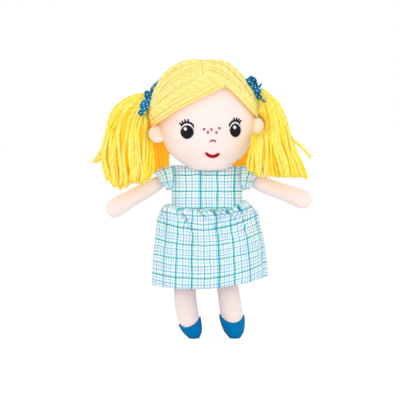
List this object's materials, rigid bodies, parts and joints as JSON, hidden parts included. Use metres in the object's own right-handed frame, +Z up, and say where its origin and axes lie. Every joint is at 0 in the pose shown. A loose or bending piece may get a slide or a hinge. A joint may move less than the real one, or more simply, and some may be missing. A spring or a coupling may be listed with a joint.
{
  "type": "rag doll",
  "caption": "Soft stuffed cloth doll with yarn hair in pigtails, a stitched face, a gathered plaid dress and cloth shoes, with limbs and head that flop at their seams.",
  "frame": {"origin": "middle of the waist, where a hand or a doll stand's clip holds the doll", "axes": "+Z up through the head, the face looks along -Y, the doll's own left side at +X"},
  "size_m": [0.2248, 0.0876, 0.3],
  "materials": {
    "skin_cloth": "brushed cotton, matt",
    "stuffing": "polyester fibre filling",
    "plaid_cotton": "woven plaid cotton in turquoise on white",
    "closure_tape": "hook and loop tape",
    "crown_yarn": "pale yellow yarn laid flat",
    "pigtail_yarn": "yellow plied yarn",
    "dotted_ribbon": "blue satin ribbon with white dots",
    "shoe_cloth": "blue felted cloth",
    "black_thread": "satin stitch embroidery",
    "white_thread": "satin stitch embroidery",
    "red_thread": "satin stitch embroidery",
    "mauve_thread": "satin stitch embroidery"
  },
  "bodies": {
    "torso": {"torso_cover": "skin_cloth", "torso_stuffing": "stuffing", "bodice_front": "plaid_cotton", "bodice_back_left": "plaid_cotton", "bodice_back_right": "plaid_cotton", "closure_loop_tape": "closure_tape", "closure_hook_tape": "closure_tape", "back_placket": "plaid_cotton", "skirt": "plaid_cotton", "left_sleeve_ruffle": "plaid_cotton", "right_sleeve_ruffle": "plaid_cotton"},
    "neck": {"neck": "skin_cloth"},
    "head": {"head_cover": "skin_cloth", "head_stuffing": "stuffing", "left_ear": "skin_cloth", "right_ear": "skin_cloth", "hair_cap": "crown_yarn", "left_fringe": "crown_yarn", "right_fringe": "crown_yarn", "parting_seam": "crown_yarn", "left_hair_tie": "dotted_ribbon", "right_hair_tie": "dotted_ribbon", "left_ribbon_bow": "dotted_ribbon", "right_ribbon_bow": "dotted_ribbon", "left_bow_knot": "dotted_ribbon", "right_bow_knot": "dotted_ribbon", "mouth_stitch": "red_thread", "nose_stitch": "mauve_thread", "left_eye_white": "white_thread", "left_iris": "black_thread", "left_eye_glint": "white_thread", "left_lashes": "black_thread", "right_eye_white": "white_thread", "right_iris": "black_thread", "right_eye_glint": "white_thread", "right_lashes": "black_thread", "freckle_1": "mauve_thread", "freckle_2": "mauve_thread", "freckle_3": "mauve_thread", "freckle_4": "mauve_thread", "freckle_5": "mauve_thread"},
    "lap": {"hip_flap": "skin_cloth"},
    "left_pigtail": {"left_pigtail": "pigtail_yarn"},
    "left_shoulder": {"left_shoulder_tab": "skin_cloth"},
    "left_arm": {"left_arm_cover": "skin_cloth", "left_arm_stuffing": "stuffing"},
    "left_leg": {"left_leg_cover": "skin_cloth", "left_leg_stuffing": "stuffing", "left_shoe": "shoe_cloth"},
    "right_pigtail": {"right_pigtail": "pigtail_yarn"},
    "right_shoulder": {"right_shoulder_tab": "skin_cloth"},
    "right_arm": {"right_arm_cover": "skin_cloth", "right_arm_stuffing": "stuffing"},
    "right_leg": {"right_leg_cover": "skin_cloth", "right_leg_stuffing": "stuffing", "right_shoe": "shoe_cloth"}
  },
  "joints": [
    {"name": "neck_nod", "type": "hinge", "parent": "torso", "child": "neck", "pos_m": [0, 0, 0.039], "axis": [1, 0, 0], "range_deg": [-14, 14]},
    {"name": "head_turn", "type": "hinge", "parent": "neck", "child": "head", "pos_m": [0, 0, 0.04], "axis": [0, 0, 1], "range_deg": [-45, 45]},
    {"name": "hip_fold", "type": "hinge", "parent": "torso", "child": "lap", "pos_m": [0, 0, -0.054], "axis": [-1, 0, 0], "range_deg": [-15, 90], "deforming": ["skirt"]},
    {"name": "left_arm_raise", "type": "hinge", "parent": "torso", "child": "left_shoulder", "pos_m": [0.046, 0, 0.0305], "axis": [0, -1, 0], "range_deg": [-50, 60], "deforming": ["left_sleeve_ruffle"]},
    {"name": "left_arm_swing", "type": "hinge", "parent": "left_shoulder", "child": "left_arm", "pos_m": [0.046, 0, 0.0305], "axis": [-0.342, 0, -0.9397], "range_deg": [-30, 60]},
    {"name": "left_leg_swing", "type": "hinge", "parent": "lap", "child": "left_leg", "pos_m": [0.019, 0, -0.054], "axis": [-1, 0, 0], "range_deg": [-20, 15]},
    {"name": "left_pigtail_lift", "type": "hinge", "parent": "head", "child": "left_pigtail", "pos_m": [0.05482, 0.002, 0.12556], "axis": [0, -1, 0], "range_deg": [0, 70], "deforming": ["left_pigtail"]},
    {"name": "right_arm_raise", "type": "hinge", "parent": "torso", "child": "right_shoulder", "pos_m": [-0.046, 0, 0.0305], "axis": [0, 1, 0], "range_deg": [-41.5, 68.5], "deforming": ["right_sleeve_ruffle"]},
    {"name": "right_arm_swing", "type": "hinge", "parent": "right_shoulder", "child": "right_arm", "pos_m": [-0.046, 0, 0.0305], "axis": [-0.4772, 0, 0.8788], "range_deg": [-30, 60]},
    {"name": "right_leg_swing", "type": "hinge", "parent": "lap", "child": "right_leg", "pos_m": [-0.019, 0, -0.054], "axis": [-1, 0, 0], "range_deg": [-20, 15]},
    {"name": "right_pigtail_lift", "type": "hinge", "parent": "head", "child": "right_pigtail", "pos_m": [-0.06096, 0.002, 0.11831], "axis": [0, 1, 0], "range_deg": [0, 70], "deforming": ["right_pigtail"]}
  ]
}
